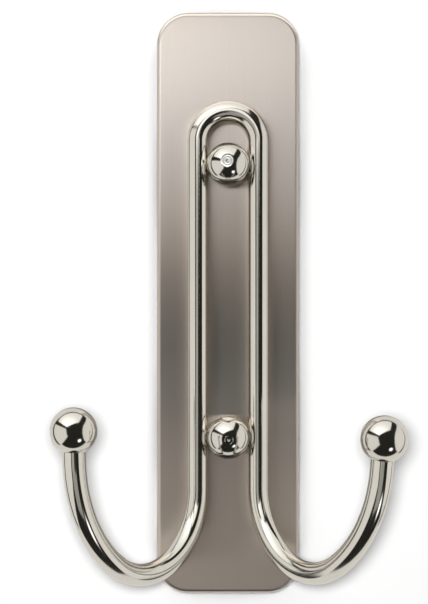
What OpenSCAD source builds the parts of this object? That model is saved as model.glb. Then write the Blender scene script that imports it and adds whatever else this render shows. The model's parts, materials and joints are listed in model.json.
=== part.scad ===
// Double wall hook: one bent rod on a brushed backplate, hung on an adhesive wall base.
// Millimetres. The wall is the plane y = 0, the hooks face -Y and +Z is up.
// The origin is on the wall, on the centreline, at mid height of the backplate.

/* [Backplate] */
// Width of the backplate
plate_w = 40; // [38.5:0.5:50]
// Height of the backplate
plate_h = 164; // [160:1:200]
// Distance from the wall to the front of the backplate
plate_front = 10; // [10:0.5:14]
// Thickness of the plate's skin and of its folded sides
skin = 1.2; // [0.8:0.1:1.3]
// Radius of the plate's corners, seen from the front
corner_r = 8.7; // [6:0.1:10]
// Radius of the pressed front edge
edge_r = 1.1; // [0.5:0.1:1.5]
// Gap between the plate's folded sides and the wall
wall_gap = 1.2; // [0.8:0.1:1.5]

/* [Rod] */
// Diameter of the rod
rod_d = 6; // [5:0.5:6]
// Distance between the centrelines of the two legs
leg_spacing = 16.9; // [16.5:0.1:17.5]
// Height of the centre of the hairpin bend
hairpin_z = 45.3; // [44:0.1:55]
// Radius of the lower bend of each arm
lower_bend_r = 21.4; // [18:0.1:24]
// Radius of the upper bend of each arm
upper_bend_r = 36.8; // [32:0.1:40]
// Sweep of the upper bend, in degrees
upper_sweep = 52; // [40:1:60]
// Straight length below each ball
tip_straight = 3; // [1:0.5:8]
// Diameter of the spigot that each ball is fixed on
spigot_d = 4; // [3:0.5:4]

/* [Left arm] */
// Height at which the left leg starts to bend
left_bend_z = -52.2; // [-60:0.1:-45]
// Angle between the left arm and the wall, in degrees
left_splay = 50; // [40:1:60]
// Sweep of the left arm's lower bend, in degrees
left_sweep = 125.8; // [115:0.1:130]

/* [Right arm] */
// Height at which the right leg starts to bend
right_bend_z = -51.7; // [-60:0.1:-45]
// Angle between the right arm and the wall, in degrees
right_splay = 52; // [40:1:60]
// Sweep of the right arm's lower bend, in degrees
right_sweep = 121; // [115:0.1:130]

/* [Balls and studs] */
// Diameter of the ball on the end of each arm
tip_ball_d = 12.3; // [11.5:0.1:14]
// Distance from the rod's shoulder to the middle of its ball
tip_ball_set = 5; // [4.5:0.1:5.2]
// Diameter of the ball heads between the legs
stud_ball_d = 12; // [11.6:0.1:14]
// Height of the upper stud
upper_stud_z = 38.7; // [30:0.1:40]
// Height of the lower stud
lower_stud_z = -37.5; // [-40:0.1:-30]
// Diameter of the stud's shank
shank_d = 4; // [3:0.5:4]
// Diameter of the flat turned on the front of each ball head
stud_flat_d = 3.7; // [2.5:0.1:5]

/* [Wall base] */
// Width of the wall base
base_w = 26.8; // [26.4:0.2:27]
// Height of the wall base
base_h = 108; // [100:1:110]
// Thickness of the base's plate
base_t = 1.8; // [1.2:0.1:1.8]
// Length of each guide rail
rail_h = 24; // [20:1:26]
// How far up the hook slides before it comes off the rails
lift = 24; // [22:1:24]

/* [Adhesive strips] */
// Width of one strip
strip_w = 13; // [10:0.5:13]
// Height of one strip
strip_h = 92; // [80:1:96]
// Thickness of a strip once it is pressed on
strip_t = 1; // [0.8:0.1:1]
// Width of a strip's pull tab
tab_w = 9; // [6:0.5:10]
// Length of a strip's pull tab
tab_h = 28; // [20:1:30]

/* [Hidden] */
$fn = 64;
// gap left between faces that rest on each other, and between a spigot and its bore
touch = 0.02;
// running clearance of the slide
slide_gap = 0.3;
// how far a cutting shape passes the face that it cuts
past = 1;
// each length of rod starts this far inside the one before it, and is this much thinner
lap = 0.05;
thinner = 0.002;

rod_r = rod_d / 2;
leg_x = leg_spacing / 2;
rod_y = -(plate_front + touch + rod_r);
tip_ball_r = tip_ball_d / 2;
spigot_r = spigot_d / 2;
spigot_len = tip_ball_set + 1.5;
spigot_tip = 0.4;

stud_ball_r = stud_ball_d / 2;
shank_r = shank_d / 2;
stud_zs = [upper_stud_z, lower_stud_z];
// the ball head sits in the groove between the two legs
seat_reach = stud_ball_r + rod_r + touch;
stud_ball_y = rod_y - sqrt(seat_reach * seat_reach - leg_x * leg_x);
stud_flat_y = sqrt(stud_ball_r * stud_ball_r - stud_flat_d * stud_flat_d / 4);
stud_ring_r = 1.15;
stud_ring_w = 0.22;
stud_ring_depth = 0.15;
stud_dimple_r = 0.42;
stud_dimple_depth = 0.4;
shank_end_y = -3.3;
shank_hole_r = shank_r + 0.1;

skin_back = plate_front - skin;
carrier_t = 2;
carrier_back = skin_back - carrier_t;
carrier_gap = 0.2;
washer_t = 0.8;
washer_r = 4.5;
nut_t = 2.2;
nut_flats = 7;

// slide: two L rails on the base, and four L keepers on the carrier that hook behind them
base_front = strip_t + base_t;
rail_root_x = 5.8;
rail_stem = 2;
rail_x = 11;
rail_head_t = 1.4;
rail_head_back = 5;
rail_z = 34;
keeper_h = 20;
keeper_wall = 1.8;
keeper_x = rail_x + slide_gap + 0.1;
keeper_back = base_front + slide_gap;
keeper_lip = rail_head_back - slide_gap;
lip_x = rail_root_x + rail_stem + slide_gap;
stop_h = 4;
stop_gap = 0.1;
stop_front = 4.5;
base_corner_r = 4;

// feet that keep the lower end of the plate parallel to the wall
foot_x = 16;
foot_z = -71;
foot_r = 2.3;
bumper_t = 1.2;
bumper_lip = 0.3;

tab_t = 0.5;
tab_wall_gap = 0.1;
tab_end_r = 2.5;

// A slab with rounded corners that stands on its edge, from y = -front to y = -back
module slab(w, h, r, front, back) {
    translate([0, -back, 0])
        rotate([90, 0, 0])
            linear_extrude(front - back) {
                square([w - 2 * r, h], center = true);
                square([w, h - 2 * r], center = true);
                for (x = [-1, 1], z = [-1, 1])
                    translate([x * (w / 2 - r), z * (h / 2 - r)])
                        circle(r);
            }
}

// Outline of the plate's rounded border: flat back, quarter round at the front
module border(reach, e, depth) {
    square([reach, depth - e]);
    square([reach - e, depth]);
    translate([reach - e, depth - e])
        circle(e);
}

// The plate's outer form: a slab whose front edge is rounded all the way round
module pressed_slab(w, h, r, e, front, back) {
    depth = front - back;
    cx = w / 2 - r;
    cz = h / 2 - r;
    translate([0, -back, 0])
        rotate([90, 0, 0]) {
            translate([-cx, -cz, 0])
                cube([2 * cx, 2 * cz, depth]);
            for (i = [0:3])
                rotate([0, 0, 90 * i]) {
                    long = i % 2 == 0 ? cx : cz;
                    wide = i % 2 == 0 ? cz : cx;
                    translate([long, wide, 0])
                        rotate_extrude(angle = 90)
                            border(r, e, depth);
                    translate([long, -wide, 0])
                        rotate([90, 0, 180])
                            linear_extrude(2 * wide)
                                mirror([1, 0])
                                    border(r, e, depth);
                }
        }
}

// Hole through the plate and the carrier for a stud's shank
module shank_hole(z) {
    translate([0, past, z])
        rotate([90, 0, 0])
            cylinder(h = plate_front + 2 * past, r = shank_hole_r);
}

module face_plate() {
    color([0.72, 0.69, 0.66])
        difference() {
            pressed_slab(plate_w, plate_h, corner_r, edge_r, plate_front, wall_gap);
            slab(plate_w - 2 * skin, plate_h - 2 * skin, corner_r - skin, skin_back, wall_gap - past);
            for (z = stud_zs)
                shank_hole(z);
        }
}

// One L keeper on the carrier, on the side of x = side
module keeper(side, z) {
    low = z - keeper_h / 2;
    mirror([side < 0 ? 1 : 0, 0, 0]) {
        translate([keeper_x, -carrier_back, low])
            cube([keeper_wall, carrier_back - keeper_back, keeper_h]);
        translate([lip_x, -keeper_lip, low])
            cube([keeper_x + keeper_wall - lip_x, keeper_lip - keeper_back, keeper_h]);
    }
}

module foot_post(side) {
    translate([side * foot_x, -bumper_t, foot_z])
        rotate([90, 0, 0])
            cylinder(h = carrier_back - bumper_t + carrier_t / 2, r = foot_r);
}

module plate_carrier() {
    inset = 2 * (skin + carrier_gap);
    color([0.16, 0.16, 0.17])
        difference() {
            union() {
                slab(plate_w - inset, plate_h - inset, corner_r - inset / 2,
                    skin_back - touch, carrier_back);
                for (side = [-1, 1]) {
                    keeper(side, rail_z);
                    keeper(side, -rail_z);
                    foot_post(side);
                }
            }
            for (z = stud_zs)
                shank_hole(z);
        }
}

// A length of rod that starts at the origin, leaves along +Z and bends towards +X.
// It is the nth length from the hairpin.
module bend(radius, sweep, n) {
    lap_angle = lap / radius * 180 / PI;
    translate([radius, 0, 0])
        rotate([90, 0, 0])
            rotate([0, 0, 180 - sweep])
                rotate_extrude(angle = sweep + lap_angle)
                    translate([radius, 0])
                        circle(rod_r - n * thinner);
}

// The same for a straight length
module straight(len, n) {
    translate([0, 0, -lap])
        cylinder(h = len + lap, r = rod_r - n * thinner);
}

// Carries its children to the far end of such a bend
module after_bend(radius, sweep) {
    translate([radius * (1 - cos(sweep)), 0, radius * sin(sweep)])
        rotate([0, sweep, 0])
            children();
}

// Places an arm: its own +Z runs down the leg and its own +X runs out from the wall
module arm_place(side, bend_z, splay) {
    translate([side * leg_x, rod_y, bend_z])
        rotate([0, 0, side > 0 ? -splay : 180 + splay])
            mirror([0, 0, 1])
                children();
}

// Carries its children to the shoulder at the end of an arm
module arm_tip(side, bend_z, splay, sweep) {
    arm_place(side, bend_z, splay)
        after_bend(lower_bend_r, sweep)
            after_bend(upper_bend_r, upper_sweep)
                translate([0, 0, tip_straight])
                    children();
}

// One leg and its arm, with the spigot on its end
module arm(side, bend_z, splay, sweep) {
    translate([side * leg_x, rod_y, hairpin_z])
        mirror([0, 0, 1])
            straight(hairpin_z - bend_z, 1);
    arm_place(side, bend_z, splay) {
        bend(lower_bend_r, sweep, 2);
        after_bend(lower_bend_r, sweep) {
            bend(upper_bend_r, upper_sweep, 3);
            after_bend(upper_bend_r, upper_sweep) {
                straight(tip_straight, 4);
                cylinder(h = tip_straight + spigot_len - spigot_tip, r = spigot_r);
                translate([0, 0, tip_straight + spigot_len - spigot_tip])
                    cylinder(h = spigot_tip, r1 = spigot_r, r2 = spigot_r - spigot_tip);
            }
        }
    }
}

module hook_wire() {
    color([0.80, 0.78, 0.74]) {
        translate([0, rod_y, hairpin_z])
            rotate([90, 0, 0])
                rotate_extrude(angle = 180)
                    translate([leg_x, 0])
                        circle(rod_r);
        arm(-1, left_bend_z, left_splay, left_sweep);
        arm(1, right_bend_z, right_splay, right_sweep);
    }
}

// Ball with a blind bore, and a seat that the rod's shoulder sinks into
module tip_ball() {
    color([0.80, 0.78, 0.74])
        difference() {
            translate([0, 0, tip_ball_set])
                sphere(tip_ball_r);
            translate([0, 0, -tip_ball_r])
                cylinder(h = tip_ball_r + touch, r = rod_r + touch);
            cylinder(h = spigot_len + touch, r = spigot_r + touch);
        }
}

module left_ball() {
    arm_tip(-1, left_bend_z, left_splay, left_sweep)
        tip_ball();
}

module right_ball() {
    arm_tip(1, right_bend_z, right_splay, right_sweep)
        tip_ball();
}

// Ball head with a turned flat, a ring and a centre dimple, on a plain shank
module stud(z) {
    color([0.80, 0.78, 0.74])
        translate([0, stud_ball_y, z])
            rotate([90, 0, 0]) {
                difference() {
                    sphere(stud_ball_r);
                    translate([0, 0, stud_flat_y])
                        cylinder(h = stud_ball_r, r = stud_flat_d);
                    translate([0, 0, stud_flat_y - stud_ring_depth])
                        difference() {
                            cylinder(h = past, r = stud_ring_r + stud_ring_w / 2);
                            translate([0, 0, -past])
                                cylinder(h = 3 * past, r = stud_ring_r - stud_ring_w / 2);
                        }
                    translate([0, 0, stud_flat_y - stud_dimple_depth])
                        cylinder(h = 2 * stud_dimple_depth, r1 = 0, r2 = 2 * stud_dimple_r);
                }
                translate([0, 0, stud_ball_y - shank_end_y])
                    cylinder(h = shank_end_y - stud_ball_y, r = shank_r);
            }
}

module upper_stud() {
    stud(upper_stud_z);
}

module lower_stud() {
    stud(lower_stud_z);
}

module washer(z) {
    color([0.62, 0.62, 0.63])
        translate([0, -carrier_back + touch, z])
            rotate([-90, 0, 0])
                difference() {
                    cylinder(h = washer_t, r = washer_r);
                    translate([0, 0, -past])
                        cylinder(h = washer_t + 2 * past, r = shank_hole_r);
                }
}

module upper_washer() {
    washer(upper_stud_z);
}

module lower_washer() {
    washer(lower_stud_z);
}

module nut(z) {
    color([0.62, 0.62, 0.63])
        translate([0, -carrier_back + washer_t + 2 * touch, z])
            rotate([-90, 0, 0])
                difference() {
                    cylinder(h = nut_t, r = nut_flats / sqrt(3), $fn = 6);
                    translate([0, 0, -past])
                        cylinder(h = nut_t + 2 * past, r = shank_r + touch);
                }
}

module upper_nut() {
    nut(upper_stud_z);
}

module lower_nut() {
    nut(lower_stud_z);
}

// Soft pad on the end of a foot, with a shallow dome against the wall
module bumper(side) {
    color([0.85, 0.85, 0.84])
        translate([side * foot_x, -bumper_t + touch, foot_z])
            rotate([-90, 0, 0]) {
                cylinder(h = bumper_t - touch - bumper_lip, r = foot_r);
                translate([0, 0, bumper_t - touch - bumper_lip])
                    cylinder(h = bumper_lip, r1 = foot_r, r2 = foot_r - bumper_lip);
            }
}

module left_bumper() {
    bumper(-1);
}

module right_bumper() {
    bumper(1);
}

// One L rail on the base, with the stop that the keeper above it rests on
module rail(z) {
    low = z - rail_h / 2;
    translate([rail_root_x, -rail_head_back, low])
        cube([rail_stem, rail_head_back - base_front, rail_h]);
    translate([rail_root_x, -rail_head_back - rail_head_t, low])
        cube([rail_x - rail_root_x, rail_head_t, rail_h]);
}

module wall_base() {
    stop_top = -rail_z - keeper_h / 2 - stop_gap;
    color([0.93, 0.93, 0.92]) {
        slab(base_w, base_h, base_corner_r, base_front, strip_t);
        for (side = [0, 1])
            mirror([side, 0, 0]) {
                rail(rail_z);
                rail(-rail_z);
                translate([rail_root_x, -stop_front, stop_top - stop_h])
                    cube([base_w / 2 - rail_root_x, stop_front - base_front, stop_h]);
            }
    }
}

// Double-sided strip beside the centreline, on the side of x = side
module strip(side) {
    color([0.96, 0.96, 0.95])
        translate([side > 0 ? 0 : -strip_w, -strip_t, -strip_h / 2])
            cube([strip_w, strip_t, strip_h]);
}

module left_strip() {
    strip(-1);
}

module right_strip() {
    strip(1);
}

// Thin tab that hangs below a strip and is pulled to release it
module pull_tab(side) {
    color([0.90, 0.93, 0.95])
        translate([side * strip_w / 2, -tab_wall_gap, -strip_h / 2])
            rotate([90, 0, 0])
                linear_extrude(tab_t) {
                    translate([-tab_w / 2, tab_end_r - tab_h])
                        square([tab_w, tab_h - tab_end_r]);
                    translate([tab_end_r - tab_w / 2, -tab_h])
                        square([tab_w - 2 * tab_end_r, tab_h]);
                    for (end = [-1, 1])
                        translate([end * (tab_w / 2 - tab_end_r), tab_end_r - tab_h])
                            circle(tab_end_r);
                }
}

module left_pull_tab() {
    pull_tab(-1);
}

module right_pull_tab() {
    pull_tab(1);
}

face_plate();
plate_carrier();
hook_wire();
left_ball();
right_ball();
upper_stud();
lower_stud();
upper_washer();
lower_washer();
upper_nut();
lower_nut();
left_bumper();
right_bumper();
wall_base();
left_strip();
right_strip();
left_pull_tab();
right_pull_tab();
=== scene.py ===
"""Looks of the double wall hook: finer metal pieces, procedural materials, studio and camera.

Metres, in the same frame as the CAD: the wall is the plane y = 0, the hooks face -Y and +Z is up.
"""

import json
import math

import bmesh
import bpy
from mathutils import Matrix, Vector

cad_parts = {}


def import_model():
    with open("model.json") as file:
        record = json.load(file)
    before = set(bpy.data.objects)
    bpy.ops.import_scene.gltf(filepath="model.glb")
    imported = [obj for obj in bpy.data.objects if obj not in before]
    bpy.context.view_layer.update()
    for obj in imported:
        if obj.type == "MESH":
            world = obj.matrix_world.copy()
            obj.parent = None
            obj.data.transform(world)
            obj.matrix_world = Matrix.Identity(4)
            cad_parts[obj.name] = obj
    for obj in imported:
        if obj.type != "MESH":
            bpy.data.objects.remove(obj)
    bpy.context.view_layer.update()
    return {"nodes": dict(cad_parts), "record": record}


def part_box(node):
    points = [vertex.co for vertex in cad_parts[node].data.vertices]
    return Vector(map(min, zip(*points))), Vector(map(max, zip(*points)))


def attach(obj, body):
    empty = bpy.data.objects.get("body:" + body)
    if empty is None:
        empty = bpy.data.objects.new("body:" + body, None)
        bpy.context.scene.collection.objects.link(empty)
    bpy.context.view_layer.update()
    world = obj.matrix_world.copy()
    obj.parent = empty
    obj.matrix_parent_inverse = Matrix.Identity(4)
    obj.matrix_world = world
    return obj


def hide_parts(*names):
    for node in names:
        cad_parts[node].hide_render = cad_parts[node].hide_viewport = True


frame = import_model()

MM = 0.001
SCENE = bpy.context.scene

# ---------------------------------------------------------------- sizes
# They are the CAD's to 0.01 mm, apart from the ring, dimple and lean of the studs' flats, which are
# set for their looks. The real studs would be alike.
ROD_R = 3 * MM
LEG_X = 8.45 * MM
HAIRPIN_Z = 45.3 * MM
LOWER_BEND_R = 21.4 * MM
UPPER_BEND_R = 36.8 * MM
UPPER_SWEEP = 52
TIP_STRAIGHT = 3 * MM
# turn of the rod between two cross-sections in degrees, facets round it, and steps down a leg
BEND_STEP = 1.5
ROD_SIDES = 64
LEG_STEPS = 12
# how far the rod's ends run into the balls
ROD_INSIDE = 0.6 * MM
# side, height of the first bend, angle from the wall, sweep of the lower bend
ARMS = {
    "left": (-1, -52.2 * MM, 50, 125.8),
    "right": (1, -51.7 * MM, 52, 121),
}
TIP_BALL_R = 6.14 * MM
TIP_BALL_SET = 5 * MM
TIP_LIP = 0.12 * MM
# points of the lip's round, in shares of its size: out from the seat, and up into the ball
TIP_LIP_ROUND = ((0.45, 0.12), (0.1, 0.5), (0, 1.1))
TIP_SEAT_DEPTH = 0.3 * MM
# angle of the first ring of a tip ball from its equator, and the rings down to its lip
FIRST_RING = 88
TIP_BALL_STEPS = 72
STUD_BALL_R = 6 * MM
STUD_BALL_STEPS = 80
STUD_SHANK_R = 2 * MM
STUD_SHANK_CHAMFER = 0.3 * MM
# softening of the flat's small edges, and the turn from its rim to the ball's first ring, in degrees
STUD_SOFT = 0.06 * MM
STUD_RIM_TURN = 0.6
STUD_FLAT_R = 1.85 * MM
STUD_RING_R = 1.15 * MM
STUD_RING_W = 0.26 * MM
STUD_RING_DEPTH = {"upper": 0.007 * MM, "lower": 0.055 * MM}
STUD_RING_STEPS = 8
STUD_DIMPLE_R = 0.36 * MM
STUD_DIMPLE_DEPTH = 0.22 * MM
# where the dimple's wall has a point, in shares of its radius
STUD_DIMPLE_SHARES = (0.25, 0.5, 0.75, 0.9)
# how far each turned flat leans up and to the left, in degrees
STUD_LEAN = {"upper": (6.7, 2), "lower": (-3, -1)}
# the lean is gone this far round from the front, and fades over this much, in degrees
LEAN_END = 125
LEAN_FADE = 75
SKIN = 1.2 * MM
CORNER_R = 8.7 * MM
EDGE_R = 1.1 * MM
EDGE_STEPS = 10
# inset of the flat face's first loop from the round edge, and the softening of the plate's back edges
FACE_INSET = 1.5 * MM
BACK_RIM = 0.2 * MM
TOUCH = 0.02 * MM

PLATE_LOW, PLATE_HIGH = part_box("face_plate")
PLATE_FRONT_Y = PLATE_LOW.y
ROD_Y = PLATE_FRONT_Y - TOUCH - ROD_R


# ---------------------------------------------------------------- materials
SOFT_EDGE_SAMPLES = 6
# a noise's usual range, the pointiness of a worn edge, and how far a front face's normal looks to -Y
NOISE_RANGE = (0.3, 0.7)
WORN_POINTINESS = (0.5, 0.56)
FRONT_NORMAL_Y = (-0.55, -0.95)


def map_range(tree, source, limits, interpolation="LINEAR"):
    """Takes the source from one range to another: limits are its low and high, and the result's."""
    node = tree.nodes.new("ShaderNodeMapRange")
    node.interpolation_type = interpolation
    for key, value in zip(("From Min", "From Max", "To Min", "To Max"), limits):
        node.inputs[key].default_value = value
    tree.links.new(source, node.inputs["Value"])
    return node.outputs["Result"]


class Shader:
    """A material's node tree, with short calls for the nodes that it uses."""

    def __init__(self, name):
        self.material = bpy.data.materials.new(name)
        self.material.use_nodes = True
        self.tree = self.material.node_tree
        self.bsdf = self.tree.nodes["Principled BSDF"]
        self.coords = self.tree.nodes.new("ShaderNodeTexCoord").outputs["Object"]

    def set(self, **values):
        for key, value in values.items():
            self.bsdf.inputs[key.replace("_", " ")].default_value = value
        return self

    def link(self, source, target):
        self.tree.links.new(source, target)

    def scaled(self, x, y, z):
        """Object coordinates, in features per metre along each axis."""
        node = self.tree.nodes.new("ShaderNodeMapping")
        node.inputs["Scale"].default_value = (x, y, z)
        self.link(self.coords, node.inputs["Vector"])
        return node.outputs["Vector"]

    def noise(self, vector, detail=4.0, roughness=0.55, distortion=0.0):
        node = self.tree.nodes.new("ShaderNodeTexNoise")
        node.inputs["Scale"].default_value = 1.0
        node.inputs["Detail"].default_value = detail
        node.inputs["Roughness"].default_value = roughness
        node.inputs["Distortion"].default_value = distortion
        self.link(vector, node.inputs["Vector"])
        return node.outputs["Fac"]

    def cells(self, vector):
        node = self.tree.nodes.new("ShaderNodeTexVoronoi")
        node.feature = "F1"
        node.inputs["Scale"].default_value = 1.0
        self.link(vector, node.inputs["Vector"])
        return node.outputs["Distance"]

    def remap(self, source, low, high, to_low=0.0, to_high=1.0):
        return map_range(self.tree, source, (low, high, to_low, to_high))

    def spread(self, noise, to_low=0.0, to_high=1.0):
        """A noise's usual range, stretched to run from one value to the other."""
        return self.remap(noise, *NOISE_RANGE, to_low, to_high)

    def math(self, operation, a, b):
        node = self.tree.nodes.new("ShaderNodeMath")
        node.operation = operation
        for socket, value in zip(node.inputs, (a, b)):
            if isinstance(value, (int, float)):
                socket.default_value = value
            else:
                self.link(value, socket)
        return node.outputs["Value"]

    def blend(self, factor, first, second):
        node = self.tree.nodes.new("ShaderNodeMix")
        node.data_type = "RGBA"
        self.link(factor, node.inputs["Factor"])
        for key, value in (("A", first), ("B", second)):
            socket = [s for s in node.inputs if s.name == key and s.type == "RGBA"][0]
            if isinstance(value, tuple):
                socket.default_value = (*value, 1.0)
            else:
                self.link(value, socket)
        return [s for s in node.outputs if s.type == "RGBA"][0]

    def edges(self):
        """High where the surface turns sharply outwards, for wear."""
        node = self.tree.nodes.new("ShaderNodeNewGeometry")
        return self.remap(node.outputs["Pointiness"], *WORN_POINTINESS)

    def facing_front(self):
        """1 on faces that look to -Y, falling to 0 on those that look away."""
        split = self.tree.nodes.new("ShaderNodeSeparateXYZ")
        self.link(self.tree.nodes["Texture Coordinate"].outputs["Normal"], split.inputs["Vector"])
        return self.remap(split.outputs["Y"], *FRONT_NORMAL_Y)

    def bump(self, height, distance, soft_edge=0.0):
        """Fine relief, over edges that catch the light as if they were rounded by soft_edge."""
        node = self.tree.nodes.new("ShaderNodeBump")
        if soft_edge:
            rounded = self.tree.nodes.new("ShaderNodeBevel")
            rounded.samples = SOFT_EDGE_SAMPLES
            rounded.inputs["Radius"].default_value = soft_edge
            self.link(rounded.outputs["Normal"], node.inputs["Normal"])
        node.inputs["Strength"].default_value = 1.0
        node.inputs["Distance"].default_value = distance
        self.link(height, node.inputs["Height"])
        self.link(node.outputs["Normal"], self.bsdf.inputs["Normal"])

    def colour(self, source):
        self.link(source, self.bsdf.inputs["Base Color"])

    def rough(self, source):
        self.link(source, self.bsdf.inputs["Roughness"])


def along(s, uv_map):
    """Turns the highlights' long axis to the u direction of a UV map."""
    tangent = s.tree.nodes.new("ShaderNodeTangent")
    tangent.direction_type = "UV_MAP"
    tangent.uv_map = uv_map
    s.link(tangent.outputs["Tangent"], s.bsdf.inputs["Tangent"])


NICKEL_DEEP = (0.81, 0.785, 0.73)
NICKEL_PALE = (0.77, 0.745, 0.69)
ROD_ROUGH = 0.085
ROD_ANISO = 0.9
BALL_ROUGH = 0.10


def polished_nickel():
    """Warm mirror plate on the balls, with faint haze and polishing marks."""
    s = Shader("polished_nickel").set(Metallic=1.0)
    haze = s.noise(s.scaled(90, 90, 90), detail=3)
    marks = s.noise(s.scaled(2600, 2600, 500), detail=5, roughness=0.7)
    s.colour(s.blend(s.spread(haze), NICKEL_DEEP, NICKEL_PALE))
    even = s.remap(haze, 0.3, 0.75, BALL_ROUGH, BALL_ROUGH * 1.3)
    s.rough(s.math("ADD", even, s.remap(marks, 0.45, 0.8, 0.0, 0.03)))
    s.bump(marks, 0.6e-6)
    return s.material


def drawn_nickel():
    """The same plate over a polished rod, whose fine ring marks draw the reflections out along it."""
    s = Shader("drawn_nickel").set(Metallic=1.0, Anisotropic=ROD_ANISO)
    along(s, "grain")
    haze = s.noise(s.scaled(90, 90, 90), detail=3)
    marks = s.noise(s.scaled(2200, 2200, 2200), detail=4, roughness=0.7)
    s.colour(s.blend(s.spread(haze), NICKEL_DEEP, NICKEL_PALE))
    even = s.remap(haze, 0.3, 0.75, ROD_ROUGH, ROD_ROUGH * 1.15)
    s.rough(s.math("ADD", even, s.remap(marks, 0.5, 0.8, 0.0, 0.012)))
    s.bump(marks, 0.2e-6)
    return s.material


PLATE_ROUGH = 0.28
PLATE_ANISO = 1.0
PLATE_DARK = (0.665, 0.59, 0.528)
PLATE_PALE = (0.71, 0.63, 0.567)
PLATE_WORN = (0.80, 0.765, 0.72)


def satin_nickel():
    """Nickel brushed along the plate, so that its reflections spread sideways."""
    s = Shader("satin_nickel").set(Metallic=1.0, Anisotropic=PLATE_ANISO)
    along(s, "across")
    fine = s.noise(s.scaled(9000, 9000, 60), detail=3, roughness=0.6)
    broad = s.noise(s.scaled(1400, 1400, 14), detail=4, roughness=0.65)
    cloud = s.noise(s.scaled(40, 40, 25), detail=3)
    lines = s.math("ADD", s.math("MULTIPLY", fine, 0.5), s.math("MULTIPLY", broad, 0.5))
    tone = s.math("ADD", s.math("MULTIPLY", lines, 0.8), s.math("MULTIPLY", cloud, 0.2))
    brushed = s.blend(s.spread(tone), PLATE_DARK, PLATE_PALE)
    s.colour(s.blend(s.edges(), brushed, PLATE_WORN))
    s.rough(s.spread(tone, PLATE_ROUGH * 1.035, PLATE_ROUGH * 0.965))
    s.bump(s.math("MULTIPLY", lines, s.facing_front()), 0.18e-6)
    return s.material


def carrier_plastic():
    """Black moulded plastic with a spark-eroded grain and paler worn edges."""
    s = Shader("carrier_plastic")
    grain = s.noise(s.scaled(5200, 5200, 5200), detail=3)
    cloud = s.noise(s.scaled(60, 60, 60), detail=2)
    body = s.blend(s.spread(cloud), (0.034, 0.034, 0.037), (0.052, 0.052, 0.056))
    s.colour(s.blend(s.edges(), body, (0.12, 0.12, 0.125)))
    s.rough(s.spread(grain, 0.48, 0.66))
    s.bump(grain, 14e-6, soft_edge=0.2 * MM)
    return s.material


def base_plastic():
    """White moulded plastic with faint flow marks."""
    s = Shader("base_plastic").set(Subsurface_Weight=0.08, Subsurface_Scale=0.001)
    grain = s.noise(s.scaled(4200, 4200, 4200), detail=3)
    flow = s.noise(s.scaled(70, 70, 18), detail=3, distortion=0.6)
    s.colour(s.blend(s.spread(flow), (0.80, 0.80, 0.775), (0.87, 0.87, 0.85)))
    s.rough(s.spread(grain, 0.36, 0.50))
    s.bump(grain, 7e-6, soft_edge=0.25 * MM)
    return s.material


def foam_strip():
    """Closed-cell foam, whose pores show."""
    s = Shader("foam_strip")
    pores = s.cells(s.scaled(3400, 3400, 3400))
    cloud = s.noise(s.scaled(120, 120, 120), detail=4)
    s.colour(s.blend(s.remap(pores, 0.1, 0.8), (0.78, 0.78, 0.75), (0.90, 0.90, 0.88)))
    s.rough(s.spread(cloud, 0.42, 0.7))
    s.bump(pores, 22e-6)
    return s.material


def tab_film():
    """Pale blue stretch film, slightly glossy."""
    s = Shader("tab_film").set(Subsurface_Weight=0.25, Subsurface_Scale=0.001, Coat_Weight=0.25)
    stretch = s.noise(s.scaled(500, 500, 120), detail=4, distortion=0.8)
    s.colour(s.blend(s.spread(stretch), (0.46, 0.60, 0.72), (0.60, 0.71, 0.80)))
    s.rough(s.spread(stretch, 0.16, 0.32))
    s.bump(stretch, 18e-6)
    return s.material


def silicone():
    """Soft milky silicone."""
    s = Shader("silicone").set(Subsurface_Weight=0.4, Subsurface_Scale=0.002)
    skin = s.noise(s.scaled(1500, 1500, 1500), detail=4)
    s.colour(s.blend(s.spread(skin), (0.66, 0.66, 0.64), (0.76, 0.76, 0.74)))
    s.rough(s.spread(skin, 0.22, 0.42))
    s.bump(skin, 8e-6)
    return s.material


def zinc_steel():
    """Bright zinc plate with spangle and fine scratches."""
    s = Shader("zinc_steel").set(Metallic=1.0)
    patch = s.cells(s.scaled(700, 700, 700))
    scratch = s.noise(s.scaled(3000, 600, 3000), detail=5, roughness=0.7)
    plated = s.blend(s.remap(patch, 0.1, 0.8), (0.58, 0.60, 0.63), (0.70, 0.715, 0.73))
    s.colour(s.blend(s.edges(), plated, (0.82, 0.82, 0.82)))
    s.rough(s.remap(scratch, 0.3, 0.75, 0.22, 0.42))
    s.bump(scratch, 4e-6, soft_edge=0.12 * MM)
    return s.material


MATERIALS = {
    "polished_nickel": polished_nickel(),
    "drawn_nickel": drawn_nickel(),
    "satin_nickel": satin_nickel(),
    "carrier_plastic": carrier_plastic(),
    "base_plastic": base_plastic(),
    "foam_strip": foam_strip(),
    "tab_film": tab_film(),
    "silicone": silicone(),
    "zinc_steel": zinc_steel(),
}


# ---------------------------------------------------------------- mesh helpers
def new_piece(name, bm, slot, body, *nodes, material=None):
    """Turns a bmesh into a smooth piece that rides on a body and stands for CAD nodes."""
    bmesh.ops.recalc_face_normals(bm, faces=bm.faces)
    mesh = bpy.data.meshes.new(name)
    bm.to_mesh(mesh)
    bm.free()
    for face in mesh.polygons:
        face.use_smooth = True
    piece = bpy.data.objects.new(name, mesh)
    SCENE.collection.objects.link(piece)
    mesh.materials.append(MATERIALS[material or slot])
    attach(piece, body)
    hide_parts(*nodes)
    return piece


def skin_loops(bm, loops):
    """Faces between loops of vertices, with the same count in each, and over the two ends."""
    for lower, upper in zip(loops, loops[1:]):
        count = len(lower)
        for i in range(count):
            j = (i + 1) % count
            bm.faces.new((lower[i], lower[j], upper[j], upper[i]))
    bm.faces.new(loops[0])
    bm.faces.new(loops[-1])


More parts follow.
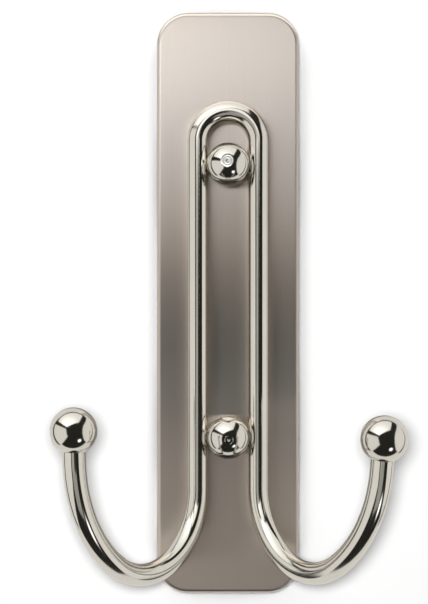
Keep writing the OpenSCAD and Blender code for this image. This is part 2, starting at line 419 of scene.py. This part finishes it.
def arc_points(centre, radius, start, end, count):
    """Points on an arc in the (r, h) half plane, angles in degrees from the r axis."""
    points = []
    for i in range(count + 1):
        a = math.radians(start + (end - start) * i / count)
        points.append((centre[0] + radius * math.cos(a), centre[1] + radius * math.sin(a)))
    return points


def lathe(profile, place, segments=128):
    """Turns an (r, h) profile about the h axis. A point with r = 0 closes the form there."""
    bm = bmesh.new()
    rings = []
    for r, h in profile:
        if r == 0:
            rings.append([bm.verts.new(place @ Vector((0, 0, h)))])
            continue
        ring = []
        for i in range(segments):
            a = math.tau * i / segments
            ring.append(bm.verts.new(place @ Vector((r * math.cos(a), r * math.sin(a), h))))
        rings.append(ring)
    for lower, upper in zip(rings, rings[1:]):
        for i in range(segments):
            j = (i + 1) % segments
            if len(lower) == 1:
                bm.faces.new((lower[0], upper[j], upper[i]))
            elif len(upper) == 1:
                bm.faces.new((lower[i], lower[j], upper[0]))
            else:
                bm.faces.new((lower[i], lower[j], upper[j], upper[i]))
    return bm


# ---------------------------------------------------------------- the bent rod
def arm_path(side, bend_z, splay, sweep):
    """Centreline points and directions of one arm, from the leg's first bend to its shoulder."""
    out = Vector((side * math.cos(math.radians(splay)), -math.sin(math.radians(splay)), 0))
    down = Vector((0, 0, -1))
    point = Vector((side * LEG_X, ROD_Y, bend_z))
    heading = 0.0
    path = []
    for radius, turn in ((LOWER_BEND_R, sweep), (UPPER_BEND_R, UPPER_SWEEP)):
        steps = int(turn / BEND_STEP)
        inward = out * math.cos(math.radians(heading)) - down * math.sin(math.radians(heading))
        centre = point + inward * radius
        for i in range(1, steps + 1):
            a = math.radians(heading + turn * i / steps)
            spoke = out * math.cos(a) - down * math.sin(a)
            path.append((centre - spoke * radius, (down * math.cos(a) + out * math.sin(a)).normalized()))
        point = path[-1][0]
        heading += turn
    tip = path[-1][1]
    path.append((point + tip * TIP_STRAIGHT, tip))
    return path


def rod_path():
    """The whole centreline, from the left arm's shoulder over the hairpin to the right one's."""
    left = [(p, -d) for p, d in reversed(arm_path(*ARMS["left"]))]
    right = arm_path(*ARMS["right"])
    up, down = Vector((0, 0, 1)), Vector((0, 0, -1))
    middle = []
    for i in range(LEG_STEPS):
        z = ARMS["left"][1] + (HAIRPIN_Z - ARMS["left"][1]) * i / LEG_STEPS
        middle.append((Vector((-LEG_X, ROD_Y, z)), up))
    for i in range(int(180 / BEND_STEP) + 1):
        a = math.radians(180 - BEND_STEP * i)
        point = Vector((LEG_X * math.cos(a), ROD_Y, HAIRPIN_Z + LEG_X * math.sin(a)))
        middle.append((point, Vector((math.sin(a), 0, -math.cos(a)))))
    for i in range(1, LEG_STEPS + 1):
        z = HAIRPIN_Z + (ARMS["right"][1] - HAIRPIN_Z) * i / LEG_STEPS
        middle.append((Vector((LEG_X, ROD_Y, z)), down))
    return left + middle + right


def rod_loops(bm, path):
    """Rings of vertices round the centreline, turned from one to the next without twist."""
    loops = []
    across = path[0][1].orthogonal().normalized()
    last = path[0][1]
    for point, direction in path:
        across = last.rotation_difference(direction) @ across
        across = (across - direction * across.dot(direction)).normalized()
        last = direction
        other = direction.cross(across)
        loop = []
        for i in range(ROD_SIDES):
            a = math.tau * i / ROD_SIDES
            loop.append(bm.verts.new(point + (across * math.cos(a) + other * math.sin(a)) * ROD_R))
        loops.append(loop)
    return loops


def hook_wire():
    """One round rod swept along its centreline, with its ends run a little way into the balls."""
    path = rod_path()
    path.insert(0, (path[0][0] - path[0][1] * ROD_INSIDE, path[0][1]))
    path.append((path[-1][0] + path[-1][1] * ROD_INSIDE, path[-1][1]))
    bm = bmesh.new()
    loops = rod_loops(bm, path)
    run = {}
    travelled = 0.0
    for i, loop in enumerate(loops):
        if i:
            travelled += (path[i][0] - path[i - 1][0]).length
        for k, vert in enumerate(loop):
            run[vert] = (travelled, k / ROD_SIDES * ROD_R)
    skin_loops(bm, loops)
    grain = bm.loops.layers.uv.new("grain")
    for face in bm.faces:
        for corner in face.loops:
            corner[grain].uv = run[corner.vert]
    new_piece("bent_rod", bm, "polished_nickel", "hook", "hook_wire", material="drawn_nickel")


def tip_ball(name):
    """A ball with a small rounded lip where the rod goes in."""
    shoulder, direction = arm_path(*ARMS[name])[-1]
    turn = Vector((0, 0, 1)).rotation_difference(direction)
    place = Matrix.Translation(shoulder) @ turn.to_matrix().to_4x4()
    seat_r = ROD_R + TOUCH
    lip_angle = math.degrees(math.acos((seat_r + TIP_LIP) / TIP_BALL_R))
    profile = [(0, TIP_BALL_SET + TIP_BALL_R)]
    profile += arc_points((0, TIP_BALL_SET), TIP_BALL_R, FIRST_RING, -lip_angle, TIP_BALL_STEPS)
    lip_h = profile[-1][1]
    for outward, inside in TIP_LIP_ROUND:
        profile.append((seat_r + TIP_LIP * outward, lip_h + TIP_LIP * inside))
    profile.append((seat_r, TIP_SEAT_DEPTH))
    bm = lathe(profile, place)
    new_piece(name + "_tip_ball", bm, "polished_nickel", "hook", name + "_ball")


def lean(bm, centre, up, left):
    """Turns the front of a ball about its centre. The turn fades out towards the back and its shank."""
    for vert in bm.verts:
        arm = vert.co - centre
        if arm.length > STUD_BALL_R + TOUCH:
            continue
        polar = math.degrees(arm.angle(Vector((0, -1, 0))))
        share = min(1.0, max(0.0, (LEAN_END - polar) / LEAN_FADE))
        share = share * share * (3 - 2 * share)
        pitch = Matrix.Rotation(math.radians(-up * share), 3, "X")
        yaw = Matrix.Rotation(math.radians(-left * share), 3, "Z")
        vert.co = centre + pitch @ yaw @ arm


def stud_flat(name, flat_h):
    """Profile of the turned flat: the dimple, the ring, and out to the flat's edge."""
    ring_in, ring_out = STUD_RING_R - STUD_RING_W / 2, STUD_RING_R + STUD_RING_W / 2
    floor = flat_h - STUD_DIMPLE_DEPTH
    profile = [(0, floor)]
    for share in STUD_DIMPLE_SHARES:
        profile.append((STUD_DIMPLE_R * share, floor + STUD_DIMPLE_DEPTH * share ** 3))
    profile.append((STUD_DIMPLE_R + STUD_SOFT, flat_h - STUD_SOFT * 0.1))
    profile += [(STUD_DIMPLE_R + 2 * STUD_SOFT, flat_h), (ring_in - STUD_SOFT, flat_h)]
    for i in range(1, STUD_RING_STEPS):
        share = i / STUD_RING_STEPS
        dip = STUD_RING_DEPTH[name] * math.sin(math.pi * share)
        profile.append((ring_in + STUD_RING_W * share, flat_h - dip))
    return profile + [(ring_out + STUD_SOFT, flat_h), (STUD_FLAT_R - STUD_SOFT, flat_h)]


def stud(name):
    """A ball head with a turned flat, a fine ring and a dimple, on its shank."""
    low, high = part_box(name + "_stud")
    flat_h = math.sqrt(STUD_BALL_R ** 2 - STUD_FLAT_R ** 2)
    ball_y = low.y + flat_h
    centre = Vector((0, ball_y, (low.z + high.z) / 2))
    place = Matrix.Translation(centre) @ Matrix.Rotation(math.radians(90), 4, "X")
    profile = stud_flat(name, flat_h)
    rim = math.degrees(math.asin(flat_h / STUD_BALL_R))
    root = -math.degrees(math.acos(STUD_SHANK_R / STUD_BALL_R))
    profile += arc_points((0, 0), STUD_BALL_R, rim - STUD_RIM_TURN, root, STUD_BALL_STEPS)
    end = ball_y - high.y
    profile += [(STUD_SHANK_R, end + STUD_SHANK_CHAMFER), (STUD_SHANK_R - STUD_SHANK_CHAMFER, end), (0, end)]
    bm = lathe(profile, place)
    lean(bm, centre, *STUD_LEAN[name])
    new_piece(name + "_ball_stud", bm, "polished_nickel", "hook", name + "_stud")


# ---------------------------------------------------------------- the pressed plate
def rounded_outline(half_w, half_h, radius, steps=14):
    """Points (x, z) of a rectangle with round corners, the same count for any radius."""
    points = []
    for corner in range(4):
        sx = 1 if corner in (0, 3) else -1
        sz = 1 if corner < 2 else -1
        for i in range(steps + 1):
            a = math.radians(90 * corner + 90 * i / steps)
            x = sx * (half_w - radius) + radius * math.cos(a)
            z = sz * (half_h - radius) + radius * math.sin(a)
            points.append((x, z))
    return points


def plate_section():
    """Inset from the outline and y of each loop, from the middle of the front round to the inside."""
    back, floor_y = PLATE_HIGH.y, PLATE_FRONT_Y + SKIN
    rim, soft = BACK_RIM, BACK_RIM * 0.3
    section = [(EDGE_R + FACE_INSET, PLATE_FRONT_Y)]
    for r, h in arc_points((EDGE_R, EDGE_R), EDGE_R, 270, 180, EDGE_STEPS):
        section.append((r, PLATE_FRONT_Y + h))
    section += [(0, PLATE_FRONT_Y + 3 * EDGE_R), (0, back - rim), (soft, back - soft), (rim, back)]
    section += [(SKIN - rim, back), (SKIN - soft, back - soft), (SKIN, back - rim)]
    section += [(SKIN, floor_y + rim), (SKIN + soft, floor_y + soft), (SKIN + rim, floor_y)]
    return section


def face_plate():
    """A pressed tray: flat brushed face, quarter-round edge, and sides folded back to the wall."""
    half_w = (PLATE_HIGH.x - PLATE_LOW.x) / 2
    half_h = (PLATE_HIGH.z - PLATE_LOW.z) / 2
    bm = bmesh.new()
    loops = []
    for inset, y in plate_section():
        outline = rounded_outline(half_w - inset, half_h - inset, CORNER_R - inset)
        loops.append([bm.verts.new((x, y, z)) for x, z in outline])
    skin_loops(bm, loops)
    across = bm.loops.layers.uv.new("across")
    for face in bm.faces:
        for corner in face.loops:
            co = corner.vert.co
            corner[across].uv = ((co.x + co.y) / half_h, co.z / half_h)
    piece = new_piece("pressed_plate", bm, "satin_nickel", "hook", "face_plate")
    flat = piece.modifiers.new("even_normals", "WEIGHTED_NORMAL")
    flat.keep_sharp = True


hook_wire()
for end in ("left", "right"):
    tip_ball(end)
for end in ("upper", "lower"):
    stud(end)
face_plate()


# ---------------------------------------------------------------- CAD nodes that stay as they are
def dress_cad_nodes():
    """The hidden and moulded pieces keep their CAD shape, with full materials."""
    slots = {entry["node"]: entry["material_slot"] for entry in frame["record"]["subparts"]}
    for node, piece in frame["nodes"].items():
        piece.data.materials.clear()
        piece.data.materials.append(MATERIALS[slots[node]])


dress_cad_nodes()


# ---------------------------------------------------------------- stage and light
# Places are in metres. A level is the strength of a surface's light, and the key lamp's is in watts.
WARM = (1.0, 0.975, 0.93)
# floor, and the board behind the object
FLOOR_Z = -0.30
FLOOR_HALF = 3.0
FLOOR_TONE = (0.5, 0.5, 0.498)
FLOOR_GLOW = 1.35
BOARD_X = 0.30
BOARD_Y = 0.1 * MM
BOARD_TOP = 0.25
BOARD_TONE = (0.605, 0.605, 0.61)
# shade where the object is close to the board: openness from and to, and the tone there
SHADE_SAMPLES = 24
SHADE_REACH = 12 * MM
SHADE_RANGE = (0.45, 0.77, 0.42, 1.0)
# the only light that isn't a surface
KEY_LEVEL = 3.4
KEY_SIZE = 0.065
KEY_PLACE = (-0.012, -0.49, 0.010)
# pale sheet behind, darker within a few centimetres of the object
SWEEP_Y = 0.20
SWEEP_HALF = 0.62
SWEEP_BEND = 0.15
SWEEP_STEP = 10
SWEEP_FRONT = -0.09
SWEEP_LEVEL = 0.76
SWEEP_SHADE = 0.22
SWEEP_FADE = (0.07, 0.17)
# softbox overhead, brightest round its heart
SOFTBOX_CORNERS = [(-1.00, 0.12, 0.57), (-0.80, -1.40, 0.60), (0.38, -0.58, 0.62), (0.33, 0.10, 0.60)]
SOFTBOX_HEART = (-0.45, -0.80, 0.60)
SOFTBOX_TINT = (1.0, 0.99, 0.955)
SOFTBOX_LEVEL = 1.55
SOFTBOX_RIM = 0.92
SOFTBOX_FADE = (0.20, 1.0)
# a panel on each side
LEFT_PANEL = [
    (-0.60, 0.10, 0.17), (-0.60, 0.02, -0.66), (-0.60, -0.55, -0.64), (-0.60, -1.25, -0.56),
    (-0.60, -0.92, 0.24),
]
RIGHT_PANEL = [
    (0.60, 0.22, 0.62), (0.60, -0.44, 0.34), (0.60, -0.60, 0.12), (0.60, -0.61, -0.14),
    (0.60, -0.50, -0.36), (0.60, -0.30, -0.54), (0.60, 0.06, -0.60),
]
PANEL_LEVEL = 0.80
# small round lit disc, whose core is a share of its radius
LAMP_PLACE = (0.357, -0.51, -0.556)
LAMP_R = 0.15
LAMP_CORE = 0.35
LAMP_SIDES = 32
LAMP_LEVEL = 1.8
# cards in front for the rod: a strip, a veil above it and an apron below it
STRIP_Y = -0.90
STRIP_X = (-0.35, 0.0)
STRIP_Z = (-0.26, 0.30)
STRIP_LEVEL = 0.40
VEIL_X = (-0.32, 0.26)
VEIL_Z = (0.13, 0.62)
VEIL_LEVEL = 1.1
APRON_X = (-0.30, 0.30)
APRON_Z = (-0.80, -0.25)
APRON_LEVEL = 0.33
# cards between the softbox and the panels, for the plate's rim and, over a share of one, the rod's arch
FILL_LEVEL = 0.9
TOP_FILL_CORNERS = [(-0.5, -0.6, 0.5), (-0.5, 0.05, 0.5), (0.5, 0.05, 0.5), (0.5, -0.6, 0.5)]
TOP_FILL_LEVEL = 0.55
ARC_SHARE = 0.65
# graded card in front for the plate
GRADED_Y = -1.20
GRADED_X = (-0.95, 0.02)
GRADED_Z = (-0.36, 0.52)
GRADED_GAIN = 1.63
CREAM = (1.0, 0.96, 0.93)
SLATE = (0.70, 0.95, 1.10)
BROWN = (1.0, 0.90, 0.80)
PALE = (0.97, 1.0, 1.03)
# height on the graded card, its light level and its tint
GRADED_STOPS = (
    (-0.36, 0.37, CREAM), (-0.22, 0.34, CREAM), (-0.15, 0.31, CREAM), (-0.09, 0.14, SLATE),
    (-0.05, 0.0, SLATE), (0.0, 0.06, SLATE), (0.04, 0.22, BROWN), (0.071, 0.52, BROWN),
    (0.10, 0.74, PALE), (0.13, 0.73, PALE), (0.16, 0.96, PALE), (0.22, 1.45, PALE),
    (0.30, 1.62, PALE), (0.36, 0.62, PALE), (0.52, 0.48, PALE),
)
# the world, as the camera sees it and as the object does
SKY_SEEN = (0.98, 0.98, 0.98, 1)
SKY_REFLECTED = (0.020, 0.020, 0.017, 1)


def contact_shade(tree, target):
    """Darkens a matt stage surface within a few millimetres of anything that stands close to it."""
    near = tree.nodes.new("ShaderNodeAmbientOcclusion")
    near.samples = SHADE_SAMPLES
    near.inputs["Color"].default_value = (1, 1, 1, 1)
    near.inputs["Distance"].default_value = SHADE_REACH
    shade = map_range(tree, near.outputs["AO"], SHADE_RANGE, "SMOOTHSTEP")
    toned = tree.nodes.new("ShaderNodeVectorMath")
    toned.operation = "MULTIPLY"
    toned.inputs[0].default_value = BOARD_TONE
    tree.links.new(shade, toned.inputs[1])
    tree.links.new(toned.outputs["Vector"], target)


def plain(name, colour, glow, is_board=False):
    """A matt stage material with some light of its own.

    The board's also takes the contact shade, and vanishes when seen from behind.
    """
    material = bpy.data.materials.new(name)
    material.use_nodes = True
    tree = material.node_tree
    tree.nodes.clear()
    out = tree.nodes.new("ShaderNodeOutputMaterial")
    matt = tree.nodes.new("ShaderNodeBsdfDiffuse")
    matt.inputs["Color"].default_value = (*colour, 1)
    light = tree.nodes.new("ShaderNodeEmission")
    light.inputs["Color"].default_value = (*colour, 1)
    light.inputs["Strength"].default_value = glow
    both = tree.nodes.new("ShaderNodeAddShader")
    tree.links.new(matt.outputs[0], both.inputs[0])
    tree.links.new(light.outputs[0], both.inputs[1])
    last = both.outputs[0]
    if is_board:
        contact_shade(tree, matt.inputs["Color"])
        clear = tree.nodes.new("ShaderNodeBsdfTransparent")
        side = tree.nodes.new("ShaderNodeNewGeometry")
        mix = tree.nodes.new("ShaderNodeMixShader")
        tree.links.new(side.outputs["Backfacing"], mix.inputs["Fac"])
        tree.links.new(last, mix.inputs[1])
        tree.links.new(clear.outputs[0], mix.inputs[2])
        last = mix.outputs[0]
    tree.links.new(last, out.inputs["Surface"])
    return material


def stage_mesh(name, corners, material, faces=None):
    """A surface that belongs to the stage. Its corners run anticlockwise seen from its front."""
    mesh = bpy.data.meshes.new(name)
    mesh.from_pydata(corners, [], faces or [tuple(range(len(corners)))])
    obj = bpy.data.objects.new(name, mesh)
    obj.data.materials.append(material)
    SCENE.collection.objects.link(obj)
    return obj


def card(name, corners, strength, colour=(1.0, 1.0, 1.0), faces=None):
    """A lit studio surface, which shows in reflections and lights the object but isn't seen itself."""
    material = bpy.data.materials.new(name)
    material.use_nodes = True
    tree = material.node_tree
    tree.nodes.clear()
    out = tree.nodes.new("ShaderNodeOutputMaterial")
    light = tree.nodes.new("ShaderNodeEmission")
    light.inputs["Color"].default_value = (*colour, 1)
    light.inputs["Strength"].default_value = strength
    tree.links.new(light.outputs[0], out.inputs["Surface"])
    obj = stage_mesh(name, corners, material, faces)
    obj.visible_camera = False
    obj.visible_shadow = False
    return obj


def upright(across, heights, y):
    """Corners of an upright card in front of the object, which faces it."""
    (left, right), (low, high) = across, heights
    return [(left, y, low), (left, y, high), (right, y, high), (right, y, low)]


def wall_board():
    """A white board just behind the wall plane. It is hidden from behind and from the reflections."""
    x, y = BOARD_X, BOARD_Y
    board = stage_mesh(
        "wall_board",
        [(x, y, BOARD_TOP), (-x, y, BOARD_TOP), (-x, y, FLOOR_Z), (x, y, FLOOR_Z)],
        plain("board_white", BOARD_TONE, 0.0, is_board=True),
    )
    board.visible_shadow = False
    board.visible_diffuse = False
    board.visible_glossy = False


def floor():
    """A plain pale floor, well below the object."""
    half, z = FLOOR_HALF, FLOOR_Z
    pale = stage_mesh(
        "floor",
        [(-half, -half, z), (half, -half, z), (half, half, z), (-half, half, z)],
        plain("floor_white", FLOOR_TONE, FLOOR_GLOW),
    )
    pale.visible_diffuse = False
    pale.visible_glossy = False


def key_lamp():
    """A soft lamp near the camera, for the board's shadows and the plastics. Metal doesn't show it."""
    data = bpy.data.lights.new("key_lamp", "AREA")
    data.shape = "DISK"
    data.size = KEY_SIZE
    data.energy = KEY_LEVEL
    obj = bpy.data.objects.new("key_lamp", data)
    obj.location = KEY_PLACE
    obj.rotation_euler = (math.radians(90), 0, 0)
    obj.visible_camera = False
    obj.visible_glossy = False
    SCENE.collection.objects.link(obj)


def fade_out(obj, centre, inner, outer, near_level, far_level):
    """Makes a lit surface's level change smoothly with distance from a point."""
    tree = obj.data.materials[0].node_tree
    place = tree.nodes.new("ShaderNodeNewGeometry")
    away = tree.nodes.new("ShaderNodeVectorMath")
    away.operation = "DISTANCE"
    away.inputs[1].default_value = centre
    tree.links.new(place.outputs["Position"], away.inputs[0])
    limits = (inner, outer, near_level, far_level)
    level = map_range(tree, away.outputs["Value"], limits, "SMOOTHSTEP")
    tree.links.new(level, tree.nodes["Emission"].inputs["Strength"])


def pale_sweep():
    """A pale sheet behind, which curves forward under the object. Metal shows it round its outlines."""
    half, bend = SWEEP_HALF, SWEEP_BEND
    run = [(SWEEP_Y, half)]
    for a in range(0, 90 + SWEEP_STEP, SWEEP_STEP):
        turn = math.radians(a)
        run.append((SWEEP_Y - bend * (1 - math.cos(turn)), -half + bend * (1 - math.sin(turn))))
    run.append((SWEEP_FRONT, -half))
    corners, faces = [], []
    for y, z in run:
        corners += [(-half, y, z), (half, y, z)]
    for i in range(len(run) - 1):
        faces.append((2 * i, 2 * i + 2, 2 * i + 3, 2 * i + 1))
    sweep = card("pale_sweep", corners, SWEEP_LEVEL, WARM, faces)
    fade_out(sweep, (0, SWEEP_Y, 0), *SWEEP_FADE, SWEEP_SHADE, SWEEP_LEVEL)


def low_lamp():
    """A small round lamp, low on the right, whose light fades towards its rim."""
    centre = Vector(LAMP_PLACE)
    aim = centre.normalized()
    across = aim.cross(Vector((0, 0, 1))).normalized()
    upward = across.cross(aim)
    corners = [centre]
    for i in range(LAMP_SIDES):
        a = math.tau * i / LAMP_SIDES
        corners.append(centre + (across * math.cos(a) + upward * math.sin(a)) * LAMP_R)
    faces = [(0, i + 1, (i + 1) % LAMP_SIDES + 1) for i in range(LAMP_SIDES)]
    obj = card("low_lamp", corners, LAMP_LEVEL, faces=faces)
    fade_out(obj, centre, LAMP_R * LAMP_CORE, LAMP_R, LAMP_LEVEL, 0.0)


def link_light(obj, *receivers):
    """Lets a card light only these pieces."""
    group = bpy.data.collections.new(obj.name + "_receivers")
    for receiver in receivers:
        group.objects.link(bpy.data.objects[receiver])
    obj.light_linking.receiver_collection = group


def let_through(obj):
    """Lets a card be seen through by the pieces that it doesn't light."""
    tree = obj.data.materials[0].node_tree
    clear = tree.nodes.new("ShaderNodeBsdfTransparent")
    both = tree.nodes.new("ShaderNodeAddShader")
    out = tree.nodes["Material Output"]
    tree.links.new(tree.nodes["Emission"].outputs[0], both.inputs[0])
    tree.links.new(clear.outputs[0], both.inputs[1])
    tree.links.new(both.outputs[0], out.inputs["Surface"])


def special_card(name, corners, level, *receivers):
    """A warm card that shows in these pieces' reflections only."""
    obj = card(name, corners, level, WARM)
    obj.visible_diffuse = False
    let_through(obj)
    link_light(obj, *receivers)


def rim_fills():
    """Lit cards in the gaps between the softbox and the panels, for the plate's rim and the rod's arch."""
    left = [LEFT_PANEL[-1], LEFT_PANEL[0], SOFTBOX_CORNERS[0], SOFTBOX_CORNERS[1]]
    right = [RIGHT_PANEL[0], RIGHT_PANEL[1], SOFTBOX_CORNERS[2], SOFTBOX_CORNERS[3]]
    special_card("left_fill", left, FILL_LEVEL, "pressed_plate")
    special_card("right_fill", right, FILL_LEVEL, "pressed_plate")
    special_card("top_fill", TOP_FILL_CORNERS, TOP_FILL_LEVEL, "pressed_plate")
    near, back = [Vector(corner) for corner in left[:2]]
    far_back, far_near = [Vector(corner) for corner in left[2:]]
    arc = [near, back, back.lerp(far_back, ARC_SHARE), near.lerp(far_near, ARC_SHARE)]
    special_card("arc_fill", arc, PANEL_LEVEL, "bent_rod")


def rod_cards():
    """Pale cards in front, between the panels, which only the rod picks up."""
    special_card("rod_strip", upright(STRIP_X, STRIP_Z, STRIP_Y), STRIP_LEVEL, "bent_rod")
    special_card("rod_veil", upright(VEIL_X, VEIL_Z, STRIP_Y), VEIL_LEVEL, "bent_rod")
    special_card("rod_apron", upright(APRON_X, APRON_Z, STRIP_Y), APRON_LEVEL, "bent_rod")


def graded_card():
    """A card in front, pale above and dark in the middle. Only the plate and the upper stud pick it up."""
    low, high = GRADED_Z
    obj = card("graded_card", upright(GRADED_X, GRADED_Z, GRADED_Y), 1.0)
    obj.visible_diffuse = False
    tree = obj.data.materials[0].node_tree
    light = tree.nodes["Emission"]
    place = tree.nodes.new("ShaderNodeNewGeometry")
    split = tree.nodes.new("ShaderNodeSeparateXYZ")
    tree.links.new(place.outputs["Position"], split.inputs["Vector"])
    height = map_range(tree, split.outputs["Z"], (low, high, 0.0, 1.0))
    ramp = tree.nodes.new("ShaderNodeValToRGB")
    ramp.color_ramp.interpolation = "CARDINAL"
    stops = ramp.color_ramp.elements
    while len(stops) < len(GRADED_STOPS):
        stops.new(0.5)
    most = max(level for z, level, tint in GRADED_STOPS)
    for stop, (z, level, tint) in zip(stops, GRADED_STOPS):
        stop.position = (z - low) / (high - low)
        stop.color = (*[level / most * part for part in tint], 1)
    tree.links.new(height, ramp.inputs["Fac"])
    tree.links.new(ramp.outputs["Color"], light.inputs["Color"])
    light.inputs["Strength"].default_value = most * GRADED_GAIN
    let_through(obj)
    link_light(obj, "pressed_plate", "upper_ball_stud")


def stage():
    """A pale board and floor, a pale sweep behind for the metal to show, and lit cards round the front."""
    wall_board()
    floor()
    key_lamp()
    pale_sweep()
    softbox = card("overhead_softbox", SOFTBOX_CORNERS, SOFTBOX_LEVEL, SOFTBOX_TINT)
    fade_out(softbox, SOFTBOX_HEART, *SOFTBOX_FADE, SOFTBOX_LEVEL, SOFTBOX_RIM)
    card("left_panel", LEFT_PANEL, PANEL_LEVEL, WARM)
    card("right_panel", RIGHT_PANEL, PANEL_LEVEL, WARM)
    low_lamp()


def world():
    """Pale where the camera sees past the stage, and near black in reflections."""
    sky = bpy.data.worlds.new("studio")
    SCENE.world = sky
    sky.use_nodes = True
    tree = sky.node_tree
    tree.nodes.clear()
    out = tree.nodes.new("ShaderNodeOutputWorld")
    pale = tree.nodes.new("ShaderNodeBackground")
    pale.inputs["Color"].default_value = SKY_SEEN
    dark = tree.nodes.new("ShaderNodeBackground")
    dark.inputs["Color"].default_value = SKY_REFLECTED
    seen = tree.nodes.new("ShaderNodeLightPath")
    mix = tree.nodes.new("ShaderNodeMixShader")
    tree.links.new(seen.outputs["Is Camera Ray"], mix.inputs["Fac"])
    tree.links.new(dark.outputs[0], mix.inputs[1])
    tree.links.new(pale.outputs[0], mix.inputs[2])
    tree.links.new(mix.outputs[0], out.inputs["Surface"])


stage()
graded_card()
rim_fills()
rod_cards()
world()
SCENE.view_settings.view_transform = "Standard"
SCENE.view_settings.look = "None"


# ---------------------------------------------------------------- camera
CAMERA_X = -3.95 * MM
CAMERA_Z = 0.25 * MM
CAMERA_DISTANCE = 480 * MM
SENSOR_MM = 36
LENS_MM = 101.3


def camera():
    """Square on to the plate, a little left of its middle."""
    data = bpy.data.cameras.new("camera")
    data.sensor_width = SENSOR_MM
    data.lens = LENS_MM
    data.clip_start = 0.01
    data.clip_end = 20
    obj = bpy.data.objects.new("camera", data)
    obj.location = (CAMERA_X, PLATE_FRONT_Y - CAMERA_DISTANCE, CAMERA_Z)
    obj.rotation_euler = (math.radians(90), 0, 0)
    SCENE.collection.objects.link(obj)
    SCENE.camera = obj


camera()
